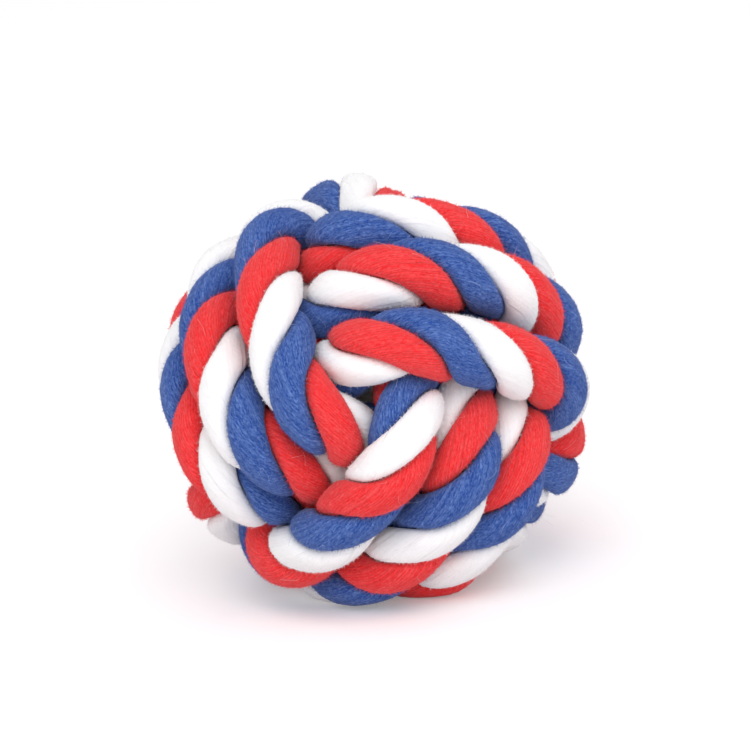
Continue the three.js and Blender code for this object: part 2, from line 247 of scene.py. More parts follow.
def tight_rope():
    """The rope drawn tight, and where along it the middles of the front passes are."""
    path, hold, front_middles = loose_rope()
    home = path.copy()
    least = MIDDLE_REACH * PASS_SPACING
    most = ROUND_REACH * PASS_SPACING
    for step in range(TIGHTEN_ROUNDS):
        fade = min(1, (TIGHTEN_ROUNDS - step) / (FADE * TIGHTEN_ROUNDS))
        pull = TENSION * fade + LEAST_TENSION
        old = path.copy()
        path[1:-1] += pull * ((old[:-2] + old[2:]) / 2 - old[1:-1])
        old = path.copy()
        near = (old[1:-3] + old[3:-1]) * 2 / 3
        far = (old[:-4] + old[4:]) / 6
        path[2:-2] += STIFFNESS * (near - far - old[2:-2])
        path += hold * (home - path)
        reach = np.linalg.norm(path, axis=1)
        factor = np.where(reach < least, least / reach, 1)
        factor = np.where(reach > most, 1 - ROUND_PRESS * (reach - most) / reach, factor)
        path *= factor[:, None]
        spacing = lengths_along(path)[-1] / (len(path) - 1)
        skip = math.ceil(NEIGHBOUR * PASS_SPACING / spacing)
        first, second = near_pairs(path, PASS_SPACING, skip)
        arrow = path[second] - path[first]
        apart = np.linalg.norm(arrow, axis=1)
        push = (CONTACT * (PASS_SPACING - apart) / apart)[:, None] * arrow
        np.add.at(path, first, -push)
        np.add.at(path, second, push)
    passed = lengths_along(path)
    return path, [(passed[index], share) for index, share in front_middles]


# The strands


def lay_turns(marks, at):
    """The turn of the lay at each length along the rope."""
    knots = [marks[0]]
    for place, share in marks[1:]:
        last_place, last_turns = knots[-1]
        wanted = last_turns + (place - last_place) / LAY_PITCH
        knots.append((place, share + math.floor(wanted - share + 0.5)))
    places, turns = np.array(knots).T
    before = np.maximum(np.arange(len(knots)) - 1, 0)
    after = np.minimum(np.arange(len(knots)) + 1, len(knots) - 1)
    slopes = (turns[after] - turns[before]) / (places[after] - places[before])
    i = np.clip(np.searchsorted(places, at, side="right") - 1, 0, len(knots) - 2)
    span = places[i + 1] - places[i]
    x = (at - places[i]) / span
    rise = turns[i + 1] - turns[i]
    bend_before = slopes[i] * span - rise
    bend_after = rise - slopes[i + 1] * span
    inside = turns[i] + rise * x + x * (1 - x) * (bend_before * (1 - x) + bend_after * x)
    start = turns[0] + (at - places[0]) * slopes[0]
    end = turns[-1] + (at - places[-1]) * slopes[-1]
    return np.where(at <= places[0], start, np.where(at >= places[-1], end, inside))


def across_to(vectors, along):
    """Unit vectors: the parts of the given ones that are square to a direction."""
    flat = vectors - (vectors * along).sum(axis=-1, keepdims=True) * along
    return flat / np.linalg.norm(flat, axis=-1, keepdims=True)


def directions_along(path):
    """The unit direction of a path at each point."""
    ends = np.concatenate((path[1:], path[-1:])) - np.concatenate((path[:1], path[:-1]))
    return ends / np.linalg.norm(ends, axis=1, keepdims=True)


def laid_strands(rope, marks):
    """The middles of the three strands before they settle, and the lay turn along them."""
    passed = lengths_along(rope)
    count = round(passed[-1] / (RING_SHARE * LAY_PITCH)) + 1
    at = np.linspace(0, passed[-1], count)
    middles = np.stack([np.interp(at, passed, rope[:, k]) for k in range(3)], axis=1)
    along = directions_along(middles)
    outward = across_to(middles, along)
    across = np.cross(along, outward)
    turns = lay_turns(marks, at)
    strands = []
    for strand in range(3):
        angle = (2 * math.pi * (turns - strand / 3))[:, None]
        strands.append(middles + LAY_RADIUS * (np.cos(angle) * outward + np.sin(angle) * across))
    return np.array(strands), turns


def nearest_places(points, i, j):
    """Where pieces i and j, each from a point to the next, come nearest to each other."""
    u = points[i + 1] - points[i]
    v = points[j + 1] - points[j]
    w = points[i] - points[j]
    uu, uv, vv = (u * u).sum(axis=1), (u * v).sum(axis=1), (v * v).sum(axis=1)
    uw, vw = (u * w).sum(axis=1), (v * w).sum(axis=1)
    guess = np.clip((uv * vw - vv * uw) / (uu * vv - uv * uv), 0, 1)
    second = np.clip((uv * guess + vw) / vv, 0, 1)
    first = np.clip((uv * second - uw) / uu, 0, 1)
    arrow = w + first[:, None] * u - second[:, None] * v
    return first, second, arrow, np.linalg.norm(arrow, axis=1)


def settle(strands, down):
    """The strands give way to each other, to the wad and to the surface below."""
    count = strands.shape[1]
    points = strands.reshape(-1, 3).copy()
    start = points.copy()
    strand_of = np.arange(len(points)) // count
    step_of = np.arange(len(points)) % count
    distance = STRAND_DIAMETER + SETTLE_GAP * STRAND_GAP
    reach = distance + 2 * RING_SHARE * LAY_PITCH
    skip = math.ceil(NEIGHBOUR * STRAND_DIAMETER / (RING_SHARE * LAY_PITCH)) + 1
    surface = (points @ down).max() - BASE_PRESS
    least = HOLLOW * PASS_SPACING
    for step in range(SETTLE_ROUNDS):
        i, j = near_pairs(points, reach, 1)
        keep = (step_of[i] < count - 1) & (step_of[j] < count - 1)
        keep &= (strand_of[i] != strand_of[j]) | (j - i >= skip)
        i, j = i[keep], j[keep]
        first, second, arrow, apart = nearest_places(points, i, j)
        close = apart < distance
        i, j, first, second = i[close], j[close], first[close, None], second[close, None]
        arrow = arrow[close] * (SETTLE_CONTACT * (distance / apart[close] - 1))[:, None]
        push = np.zeros_like(points)
        np.add.at(push, i, (1 - first) * arrow)
        np.add.at(push, i + 1, first * arrow)
        np.add.at(push, j, -(1 - second) * arrow)
        np.add.at(push, j + 1, -second * arrow)
        moved = (points - start).reshape(3, count, 3)
        before = np.concatenate((moved[:, :1], moved[:, :-1]), axis=1)
        after = np.concatenate((moved[:, 1:], moved[:, -1:]), axis=1)
        even = EVEN * (1 - step / SETTLE_ROUNDS) * ((before + after) / 2 - moved)
        points += push + (even - SETTLE_HOLD * moved).reshape(-1, 3)
        points -= np.maximum(points @ down - surface, 0)[:, None] * down
        nearness = np.linalg.norm(points, axis=1)
        points *= np.maximum(least / nearness, 1)[:, None]
    return points.reshape(3, count, 3)


def smooth_line(points, spots):
    """A smooth line through points, at the given spots counted in points."""
    count = len(points)
    bends = np.zeros_like(points)
    system = np.eye(count)
    for i in range(1, count - 1):
        system[i, i - 1 : i + 2] = (1, 4, 1)
    bends[1:-1] = 6 * (points[:-2] - 2 * points[1:-1] + points[2:])
    bends = np.linalg.solve(system, bends)
    i = np.clip(spots.astype(int), 0, count - 2)
    x = (spots - i)[:, None]
    y = 1 - x
    line = y * points[i] + x * points[i + 1]
    return line + ((y**3 - y) * bends[i] + (x**3 - x) * bends[i + 1]) / 6


def even_spots(points, spacing):
    """Spots, counted in points, that lie at an even spacing along the smooth line."""
    dense = np.linspace(0, len(points) - 1, SPOTS_PER_POINT * len(points))
    passed = lengths_along(smooth_line(points, dense))
    return np.interp(np.arange(0, passed[-1], spacing), passed, dense), passed[-1]


def wander(rng, count, length, beat):
    """Smooth random values from -1 to 1: count lines of them, along a length."""
    knots = int(length / beat) + 4
    values = rng.uniform(-1, 1, (knots, count))
    return values, beat


def wander_at(wandering, places):
    """The value of each wandering line at the given places."""
    values, beat = wandering
    x = places / beat
    i = x.astype(int)
    t = (x - i)[:, None]
    t = t * t * (3 - 2 * t)
    return values[i] * (1 - t) + values[i + 1] * t


# Winding the ball

down = np.array(DOWNWARD) / np.linalg.norm(DOWNWARD)
right = np.array(RIGHTWARD) - np.dot(RIGHTWARD, down) * down
right /= np.linalg.norm(right)
lie = np.array([right, np.cross(right, down), -down])

rope, marks = tight_rope()
laid, turns = laid_strands(rope, marks)
settled = settle(laid, down)

# The wad's middle is the middle of the knot, so its box tells where the ball lies
wad_low, wad_high = (np.array(corner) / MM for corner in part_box("cotton_wad"))
ball_centre = (wad_low + wad_high) / 2
wad_radius = (wad_high - wad_low).max() / 2
settled = settled @ lie.T + ball_centre

lines = []
for strand in range(3):
    spots, length = even_spots(settled[strand], RING_SPACING)
    rope_middles = smooth_line(settled.mean(axis=0), spots)
    middles = smooth_line(settled[strand], spots)
    along = directions_along(middles)
    outward = across_to(middles - rope_middles, along)
    rope_along = directions_along(rope_middles)
    lay = np.interp(spots, np.arange(len(turns)), turns)
    lines.append(
        {
            "middles": middles,
            "rope_middles": rope_middles,
            "rope_along": rope_along,
            "outward": outward,
            "across": np.cross(along, outward),
            "twist": -YARN_TWIST * 2 * math.pi * lay,
            "passed": np.arange(len(spots)) * RING_SPACING,
            "length": length,
        }
    )

all_middles = np.concatenate([line["middles"] for line in lines])
all_strands = np.concatenate([np.full(len(line["middles"]), s) for s, line in enumerate(lines)])
all_steps = np.concatenate([np.arange(len(line["middles"])) for line in lines])


def room_round(middle, rays, strand, step):
    """How far each ray can go from the middle of a strand before it meets what is there."""
    arrows = all_middles - middle
    squares = (arrows**2).sum(axis=1)
    near = squares < (2 * STRAND_RADIUS + PRESS_REACH) ** 2
    along_itself = abs(all_steps - step) * RING_SPACING
    near &= ~((all_strands == strand) & (along_itself < OWN_LENGTH * STRAND_RADIUS))
    room = np.full(len(rays), 2 * STRAND_RADIUS)
    if near.any():
        apart = np.sqrt(squares[near])
        cosines = rays @ (arrows[near] / apart[:, None]).T
        limits = (apart - PRESS_GAP) / 2 / np.maximum(cosines, LEAST_COSINE)
        room = np.minimum(room, limits.min(axis=1))
    floor = middle[2] / np.maximum(-rays[:, 2], LEAST_COSINE)
    inward = ball_centre - middle
    depth = np.linalg.norm(inward)
    wad = (depth - wad_radius) / np.maximum(rays @ (inward / depth), LEAST_COSINE)
    return np.minimum(room, np.minimum(floor, wad))


def room_in_rope(middle, rays, rope_middle, rope_along):
    """How far each ray can go before it leaves the round of the rope."""
    aside = middle - rope_middle
    aside = aside - (aside @ rope_along) * rope_along
    flat = rays - np.outer(rays @ rope_along, rope_along)
    radius = max(ROPE_RADIUS, np.linalg.norm(aside) + LEAST_CREST)
    square = (flat**2).sum(axis=1)
    slope = flat @ aside
    return (np.sqrt(slope**2 + square * (radius**2 - aside @ aside)) - slope) / square


def softened(grid):
    """Values on a strand's skin, each mixed with those before, after and beside it."""
    before = np.concatenate((grid[:1], grid[:-1]))
    after = np.concatenate((grid[1:], grid[-1:]))
    grid = (before + 2 * grid + after) / 4
    return (np.roll(grid, 1, axis=1) + 2 * grid + np.roll(grid, -1, axis=1)) / 4


def plump_strand(strand):
    """How far a strand swells along even rays round its middle, and how far off its
    neighbours stay there."""
    line = lines[strand]
    angles = 2 * math.pi * np.arange(RAYS) / RAYS
    reach = np.empty((len(line["middles"]), RAYS))
    clearance = np.empty(reach.shape)
    for step, middle in enumerate(line["middles"]):
        rays = np.cos(angles)[:, None] * line["outward"][step]
        rays += np.sin(angles)[:, None] * line["across"][step]
        room = room_round(middle, rays, strand, step)
        crest = room_in_rope(middle, rays, line["rope_middles"][step], line["rope_along"][step])
        limits = np.stack((np.full(RAYS, STRAND_RADIUS), crest, room))
        reach[step] = -SOFT_EDGE * np.log(np.exp(-limits / SOFT_EDGE).sum(axis=0))
        clearance[step] = np.clip((room - reach[step]) / NAP_CLEARANCE, 0, 1)
    for _ in range(SOFTENINGS):
        reach, clearance = softened(reach), softened(clearance)
    return reach, clearance


def strand_skin(strand):
    """The rings of points of one strand's skin, and what its cotton is like at each."""
    line = lines[strand]
    rng = np.random.default_rng(strand + 1)
    columns = YARNS * COLUMNS_PER_YARN
    drift = wander_at(wander(rng, YARNS, line["length"], YARN_BEAT), line["passed"])
    swell = wander_at(wander(rng, YARNS, line["length"], YARN_BEAT), line["passed"])
    shade = wander_at(wander(rng, YARNS, line["length"], SHADE_BEAT), line["passed"])
    place = np.arange(columns) / COLUMNS_PER_YARN
    yarn = place.astype(int)
    across = place - yarn
    groove_here = yarn + YARN_DRIFT * drift[:, yarn]
    groove_next = yarn + 1 + YARN_DRIFT * drift[:, (yarn + 1) % YARNS]
    angles = 2 * math.pi * (groove_here + across * (groove_next - groove_here)) / YARNS
    angles += line["twist"][:, None]
    crown = np.sin(math.pi * across) ** YARN_ROUNDNESS

    # The yarns wind round the strand, so each ring looks between the even rays
    reach, clearance = plump_strand(strand)
    spot = (angles / (2 * math.pi) * RAYS) % RAYS
    ray = spot.astype(int) % RAYS
    share = spot - spot.astype(int)
    step = np.arange(len(reach))[:, None]
    radius = reach[step, ray] * (1 - share) + reach[step, (ray + 1) % RAYS] * share
    clear = clearance[step, ray] * (1 - share) + clearance[step, (ray + 1) % RAYS] * share
    relief = (crown - 1) * YARN_DEPTH + crown * YARN_SWELL * swell[:, yarn]
    radius += relief * (PRESSED_RELIEF + (1 - PRESSED_RELIEF) * clear)
    rays = np.cos(angles)[..., None] * line["outward"][:, None]
    rays += np.sin(angles)[..., None] * line["across"][:, None]
    rings = line["middles"][:, None] + radius[..., None] * rays
    rings[..., 2] = np.maximum(rings[..., 2], 0)

    # Loose fibres stand where there is room, on the outside of the ball, off the floor
    from_centre = line["middles"] - ball_centre
    from_centre /= np.linalg.norm(from_centre, axis=1, keepdims=True)
    facing = (rays * from_centre[:, None]).sum(axis=-1)
    above = np.clip(rings[..., 2] / FLOOR_CLEARANCE - 1, 0, 1)
    free = clear * np.clip(FACING_GAIN * facing + FACING_START, 0, 1) * above
    return rings, free, np.tile(crown, (len(rings), 1)), shade[:, yarn]


# Materials


def linear(hex_colour):
    """An sRGB hex colour as linear RGBA."""
    parts = [int(hex_colour[k : k + 2], 16) / 255 for k in (1, 3, 5)]
    parts = [p / 12.92 if p <= 0.04045 else ((p + 0.055) / 1.055) ** 2.4 for p in parts]
    return (*parts, 1)


def add_node(tree, kind, settings=None, inputs=None):
    """Adds a node with its settings; an input is a value or another node's output."""
    node = tree.nodes.new(kind)
    for name, value in (settings or {}).items():
        setattr(node, name, value)
    for name, value in (inputs or {}).items():
        if isinstance(value, bpy.types.NodeSocket):
            tree.links.new(value, node.inputs[name])
        else:
            node.inputs[name].default_value = value
    return node


def cotton(name, painted_shade_colour, plain, pale, glow):
    """Soft cotton yarn, dyed before it was laid up and brushed: quite matt, with fine
    fibres along each yarn, yarns that took the dye unevenly and a felted surface. Its
    grooves and the hollows between tufts are darkened towards the first colour, which is
    painted shade. Glow is how much light goes through it."""
    material = bpy.data.materials.new(name)
    material.use_nodes = True
    tree = material.node_tree
    surface = tree.nodes["Principled BSDF"]
    yarn_map = add_node(tree, "ShaderNodeUVMap", {"uv_map": "along_yarns"}).outputs["UV"]
    shade = add_node(tree, "ShaderNodeAttribute", {"attribute_name": "yarn_shade"})
    crown = add_node(tree, "ShaderNodeAttribute", {"attribute_name": "yarn_crown"})

    # The map is in millimetres, across the yarns and along them. Cotton fibres are about
    # 0.02 mm thick, too fine to show, so they are drawn in tufts of 0.15 by 1.2 mm.
    tuft_size = add_node(
        tree, "ShaderNodeMapping", inputs={"Vector": yarn_map, "Scale": (6.5, 0.85, 1)}
    )
    tufts = add_node(
        tree,
        "ShaderNodeTexNoise",
        inputs={"Vector": tuft_size.outputs["Vector"], "Scale": 1, "Detail": 4, "Roughness": 0.6},
    )
    # Brushing leaves the surface felted, in flocks of about 0.3 by 0.5 mm
    flock_size = add_node(
        tree, "ShaderNodeMapping", inputs={"Vector": yarn_map, "Scale": (3.6, 1.9, 1)}
    )
    felt = add_node(
        tree,
        "ShaderNodeTexNoise",
        inputs={
            "Vector": flock_size.outputs["Vector"],
            "Scale": 1,
            "Detail": 3,
            "Roughness": 0.65,
            "Distortion": 0.8,
        },
    )
    # Single yarns are a little lighter or darker than their neighbours
    uneven = add_node(
        tree,
        "ShaderNodeMapRange",
        inputs={
            "Value": shade.outputs["Fac"],
            "From Min": -1,
            "From Max": 1,
            "To Min": 0.0,
            "To Max": 0.4,
        },
    )
    flock = add_node(
        tree,
        "ShaderNodeMapRange",
        inputs={
            "Value": felt.outputs["Fac"],
            "From Min": 0.35,
            "From Max": 0.7,
            "To Min": -0.35,
            "To Max": 0.75,
        },
    )
    paleness = add_node(
        tree,
        "ShaderNodeMath",
        {"operation": "ADD", "use_clamp": True},
        {0: uneven.outputs["Result"], 1: flock.outputs["Result"]},
    )
    tint = add_node(
        tree,
        "ShaderNodeMix",
        {"data_type": "RGBA"},
        {"Factor": paleness.outputs[0], "A": linear(plain), "B": linear(pale)},
    )
    # Between the yarns and the tufts the colour is darkened towards the first colour:
    # painted shade in the grooves between the yarns
    groove = add_node(
        tree,
        "ShaderNodeMapRange",
        inputs={
            "Value": crown.outputs["Fac"],
            "From Min": 0,
            "From Max": 0.9,
            "To Min": 0.25,
            "To Max": 0,
        },
    )
    # Painted shade in the hollows between the tufts
    hollow_shade = add_node(
        tree,
        "ShaderNodeMapRange",
        inputs={
            "Value": tufts.outputs["Fac"],
            "From Min": 0.3,
            "From Max": 0.55,
            "To Min": 0.32,
            "To Max": 0,
        },
    )
    # How much painted shade each spot gets, and the tint darkened by it
    depth = add_node(
        tree,
        "ShaderNodeMath",
        {"operation": "ADD", "use_clamp": True},
        {0: groove.outputs["Result"], 1: hollow_shade.outputs["Result"]},
    )
    shaded_tint = add_node(
        tree,
        "ShaderNodeMix",
        {"data_type": "RGBA"},
        {"Factor": depth.outputs[0], "A": tint.outputs["Result"], "B": linear(painted_shade_colour)},
    )
    fibre_relief = add_node(
        tree,
        "ShaderNodeBump",
        inputs={"Height": tufts.outputs["Fac"], "Strength": 0.5, "Distance": 0.08 * MM},
    )
    relief = add_node(
        tree,
        "ShaderNodeBump",
        inputs={
            "Height": felt.outputs["Fac"],
            "Strength": 0.5,
            "Distance": 0.15 * MM,
            "Normal": fibre_relief.outputs["Normal"],
        },
    )
    tree.links.new(shaded_tint.outputs["Result"], surface.inputs["Base Color"])
    tree.links.new(relief.outputs["Normal"], surface.inputs["Normal"])
    surface.inputs["Roughness"].default_value = 0.95
    surface.inputs["Specular IOR Level"].default_value = 0.15
    surface.inputs["Sheen Weight"].default_value = 0.12
    surface.inputs["Sheen Roughness"].default_value = 0.5
    # Undyed cotton lets light through, so its shaded sides stay bright
    surface.inputs["Subsurface Weight"].default_value = glow
    surface.inputs["Subsurface Radius"].default_value = (1, 1, 1)
    surface.inputs["Subsurface Scale"].default_value = 1.2 * MM
    return material


def fuzz(name, colour, pale):
    """Loose ends of cotton fibre, brushed up from the yarns: thin, matt, and paler where
    the light comes through them."""
    material = bpy.data.materials.new(name)
    material.use_nodes = True
    tree = material.node_tree
    surface = tree.nodes["Principled BSDF"]
    place = add_node(tree, "ShaderNodeTexCoord").outputs["Object"]
    # Fibres differ from one to the next, every 0.4 mm or so
    patches = add_node(tree, "ShaderNodeTexNoise", inputs={"Vector": place, "Scale": 2500})
    tint = add_node(
        tree,
        "ShaderNodeMix",
        {"data_type": "RGBA"},
        {"Factor": patches.outputs["Fac"], "A": linear(colour), "B": linear(pale)},
    )
    tree.links.new(tint.outputs["Result"], surface.inputs["Base Color"])
    surface.inputs["Roughness"].default_value = 0.9
    surface.inputs["Specular IOR Level"].default_value = 0.2
    return material


# The first colour of each cotton is the painted shade of its grooves and hollows
cotton_of = (
    cotton("dyed_blue_cotton_yarn", "#111c52", "#2a4e9b", "#6e8dcc", 0.0),
    cotton("bleached_white_cotton_yarn", "#e8e7e9", "#f3f2f3", "#f7f6f7", 0.25),
    cotton("dyed_red_cotton_yarn", "#96101a", "#ef2e31", "#f45b5c", 0.0),
)
fuzz_of = (
    fuzz("blue_cotton_nap", "#26478f", "#6c8ccb"),
    fuzz("white_cotton_nap", "#f1f0f1", "#f7f6f7"),
    fuzz("red_cotton_nap", "#e52d31", "#f36c6e"),
)
lint_of = (
    fuzz("pale_blue_cotton_lint", "#8fa6d0", "#d5ddee"),
    None,
    fuzz("pale_pink_cotton_lint", "#ee9296", "#f4dcdc"),
)


# The strands as meshes


def strand_piece(name, rings, free, crown, shade, passed):
    """A closed length of strand: its skin, and a flat cap at either end."""
    count, columns = rings.shape[:2]
    caps = rings[[0, -1]].mean(axis=1)
    points = np.concatenate((rings.reshape(-1, 3), caps)) * MM
    ring = np.arange(count - 1)[:, None] * columns
    here = ring + np.arange(columns)
    over = ring + (np.arange(columns) + 1) % columns
    quads = np.stack((here, over, over + columns, here + columns), axis=-1).reshape(-1, 4)
    first = np.arange(columns)
    second = (first + 1) % columns
    last = (count - 1) * columns
    middle = count * columns
    caps_first = np.stack((second, first, np.full(columns, middle)), axis=-1)
    caps_last = np.stack((last + first, last + second, np.full(columns, middle + 1)), axis=-1)
    mesh = bpy.data.meshes.new(name)
    faces = quads.tolist() + caps_first.tolist() + caps_last.tolist()
    mesh.from_pydata(points.tolist(), [], faces)
    mesh.polygons.foreach_set("use_smooth", np.ones(len(mesh.polygons), dtype=bool))
    for label, values in (("yarn_free", free), ("yarn_crown", crown), ("yarn_shade", shade)):
        attribute = mesh.attributes.new(label, "FLOAT", "POINT")
        attribute.data.foreach_set("value", np.concatenate((values.ravel(), (0, 0))))
    yarn_width = 2 * math.pi * STRAND_RADIUS / YARNS
    across = np.arange(columns + 1) / COLUMNS_PER_YARN * yarn_width
    u = np.stack((across[:-1], across[1:], across[1:], across[:-1]), axis=-1)
    u = np.tile(u, (count - 1, 1, 1))
    v = np.stack((passed[:-1], passed[:-1], passed[1:], passed[1:]), axis=-1)
    v = np.repeat(v[:, None], columns, axis=1)
    skin_map = np.stack((u, v), axis=-1).reshape(-1, 2)
    cap_map = np.zeros((6 * columns, 2))
    layer = mesh.uv_layers.new(name="along_yarns")
    layer.data.foreach_set("uv", np.concatenate((skin_map, cap_map)).ravel())
    piece = bpy.data.objects.new(name, mesh)
    bpy.context.scene.collection.objects.link(piece)
    return piece


def hidden_cuts(middles):
    """Steps at which a strand is cut into pieces: where it is deepest in the ball, near
    to even parts of its length."""
    depth = np.linalg.norm(middles - ball_centre, axis=1)
    cuts = [0]
    for part in range(1, PIECES_PER_STRAND):
        around = round(part * len(middles) / PIECES_PER_STRAND)
        window = slice(around - CUT_WINDOW, around + CUT_WINDOW)
        cuts.append(window.start + int(np.argmin(depth[window])))
    return cuts + [len(middles) - 1]


strand_pieces = []
for strand, strand_name in enumerate(STRAND_NAMES):
    rings, free, crown, shade = strand_skin(strand)
    cuts = hidden_cuts(lines[strand]["middles"])
    group = []
    for part in range(PIECES_PER_STRAND):
        span = slice(cuts[part], cuts[part + 1] + 1)
        piece = strand_piece(
            f"{strand_name}_cotton_{part + 1}",
            rings[span],
            free[span],
            crown[span],
            shade[span],
            lines[strand]["passed"][span],
        )
        piece.data.materials.append(cotton_of[strand])
        group.append(piece)
    strand_pieces.append(group)


# Fuzz and lint


def curled_fibre(tree, given):
    """One long fibre, which stands on its point and curls over to one side."""
    line = add_node(
        tree,
        "GeometryNodeCurvePrimitiveLine",
        {"mode": "DIRECTION"},
        {"Length": given["Fibre Length"]},
    )
    stepped = add_node(
        tree,
        "GeometryNodeResampleCurve",
        inputs={"Curve": line.outputs["Curve"], "Count": given["Points"]},
    )
    share = add_node(tree, "GeometryNodeSplineParameter").outputs["Factor"]
    bend = add_node(tree, "ShaderNodeMath", {"operation": "POWER"}, {0: share, 1: 2.0})
    reach = add_node(
        tree,
        "ShaderNodeMath",
        {"operation": "MULTIPLY"},
        {0: given["Fibre Length"], 1: given["Curl"]},
    )
    swing = add_node(
        tree,
        "ShaderNodeMath",
        {"operation": "MULTIPLY"},
        {0: bend.outputs[0], 1: reach.outputs[0]},
    )
    offset = add_node(tree, "ShaderNodeCombineXYZ", inputs={"X": swing.outputs[0]})
    bent = add_node(
        tree,
        "GeometryNodeSetPosition",
        inputs={"Geometry": stepped.outputs["Curve"], "Offset": offset.outputs["Vector"]},
    )
    section = add_node(
        tree,
        "GeometryNodeCurvePrimitiveCircle",
        inputs={"Resolution": 3, "Radius": given["Fibre Radius"]},
    )
    fibre = add_node(
        tree,
        "GeometryNodeCurveToMesh",
        inputs={
            "Curve": bent.outputs["Geometry"],
            "Profile Curve": section.outputs["Curve"],
            "Fill Caps": True,
        },
    )
    return fibre.outputs["Mesh"]


def nap_tuft(tree, given):
    """One short tuft of the nap, which narrows from its foot to a point."""
    tuft = add_node(
        tree,
        "GeometryNodeMeshCone",
        {"fill_type": "NGON"},
        {
            "Vertices": 3,
            "Radius Top": 0.0,
            "Radius Bottom": given["Fibre Radius"],
            "Depth": given["Fibre Length"],
        },
    )
    return tuft.outputs["Mesh"]


def random_number(tree, least, most, seed):
    """A random number for each fibre."""
    node = add_node(
        tree,
        "FunctionNodeRandomValue",
        {"data_type": "FLOAT"},
        {2: least, 3: most, "Seed": seed},
    )
    return node.outputs[1]


def fibre_tree(name, shape, lengths, counts):
    """Strews fibres of one shape over a strand's free side."""
    tree = bpy.data.node_groups.new(name, "GeometryNodeTree")
    face = tree.interface
    face.new_socket("Geometry", in_out="INPUT", socket_type="NodeSocketGeometry")
    for label, default in lengths.items():
        socket = face.new_socket(label, in_out="INPUT", socket_type="NodeSocketFloat")
        socket.default_value = default
    for label, default in {**counts, "Seed": 0}.items():
        socket = face.new_socket(label, in_out="INPUT", socket_type="NodeSocketInt")
        socket.default_value = default
    face.new_socket("Material", in_out="INPUT", socket_type="NodeSocketMaterial")
    face.new_socket("Geometry", in_out="OUTPUT", socket_type="NodeSocketGeometry")
    given = add_node(tree, "NodeGroupInput").outputs
    fibre = shape(tree, given)

    # Where fibres start, and which way each leans
    free = add_node(
        tree, "GeometryNodeInputNamedAttribute", {"data_type": "FLOAT"}, {"Name": "yarn_free"}
    )
    density = add_node(
        tree,
        "ShaderNodeMath",
        {"operation": "MULTIPLY"},
        {0: free.outputs["Attribute"], 1: given["Fibres per Square Metre"]},
    )
    strewn = add_node(
        tree,
        "GeometryNodeDistributePointsOnFaces",
        {"distribute_method": "RANDOM"},
        {"Mesh": given["Geometry"], "Density": density.outputs[0], "Seed": given["Seed"]},
    )
    lean = random_number(tree, given["Least Lean"], given["Most Lean"], given["Seed"])
    spin = random_number(tree, 0.0, 2 * math.pi, 7)
    roll = random_number(tree, 0.0, 2 * math.pi, 9)
    turned = add_node(tree, "ShaderNodeCombineXYZ", inputs={"Z": spin})
    leaning = add_node(tree, "ShaderNodeCombineXYZ", inputs={"Y": lean})
    rolled = add_node(tree, "ShaderNodeCombineXYZ", inputs={"Z": roll})
    rotation = strewn.outputs["Rotation"]
    for step in (turned, leaning, rolled):
        rotation = add_node(
            tree,
            "FunctionNodeRotateRotation",
            {"rotation_space": "LOCAL"},
            {"Rotation": rotation, "Rotate By": step.outputs["Vector"]},
        ).outputs["Rotation"]
    size = random_number(tree, *FIBRE_SIZES, 11)
    placed = add_node(
        tree,
        "GeometryNodeInstanceOnPoints",
        inputs={
            "Points": strewn.outputs["Points"],
            "Instance": fibre,
            "Rotation": rotation,
            "Scale": size,
        },
    )
    real = add_node(
        tree, "GeometryNodeRealizeInstances", inputs={"Geometry": placed.outputs["Instances"]}
    )
    coloured = add_node(
        tree,
        "GeometryNodeSetMaterial",
        inputs={"Geometry": real.outputs["Geometry"], "Material": given["Material"]},
    )
    add_node(tree, "NodeGroupOutput", inputs={"Geometry": coloured.outputs["Geometry"]})
    return tree


def strew(tree, name, carrier, material, length, seed):
    """Fibres over one piece, as a plain mesh."""
    work = bpy.data.objects.new("fibre_work", carrier.data)
    bpy.context.scene.collection.objects.link(work)
    modifier = work.modifiers.new("fibres", "NODES")
    modifier.node_group = tree
    wanted = {"Material": material, "Fibre Length": length * MM, "Seed": seed}
    for socket in tree.interface.items_tree:
        if socket.in_out == "INPUT" and socket.name in wanted:
            modifier[socket.identifier] = wanted[socket.name]
    evaluated = work.evaluated_get(bpy.context.evaluated_depsgraph_get())
    mesh = bpy.data.meshes.new_from_object(evaluated)
    bpy.data.objects.remove(work)
    mesh.name = name
    piece = bpy.data.objects.new(name, mesh)
    bpy.context.scene.collection.objects.link(piece)
    return piece


nap_tree = fibre_tree(
    "cotton_nap",
    nap_tuft,
    {
        "Fibre Length": max(NAP_LENGTHS) * MM,
        "Fibre Radius": NAP_RADIUS * MM,
        "Fibres per Square Metre": NAP_PER_MM2 / MM**2,
        "Least Lean": 0.3,
        "Most Lean": 1.3,
    },
    {},
)
lint_tree = fibre_tree(
    "cotton_lint",
    curled_fibre,
    {
        "Fibre Length": LINT_LENGTH * MM,
        "Fibre Radius": LINT_RADIUS * MM,
        "Fibres per Square Metre": LINT_PER_MM2 / MM**2,
        "Least Lean": 1.3,
        "Most Lean": 1.55,
        "Curl": 0.8,
    },
    {"Points": LINT_POINTS},
)
nap_pieces = []
lint_pieces = []
for strand, strand_name in enumerate(STRAND_NAMES):
    nap_pieces.append([])
    for part, carrier in enumerate(strand_pieces[strand]):
        nap_name = f"{strand_name}_nap_{part + 1}"
        nap_pieces[strand].append(
            strew(nap_tree, nap_name, carrier, fuzz_of[strand], NAP_LENGTHS[strand], part + 1)
        )
        if lint_of[strand]:
            lint_name = f"{strand_name}_lint_{part + 1}"
            lint_pieces.append(
                strew(lint_tree, lint_name, carrier, lint_of[strand], LINT_LENGTH, part + 1)
            )


# The wad in the middle


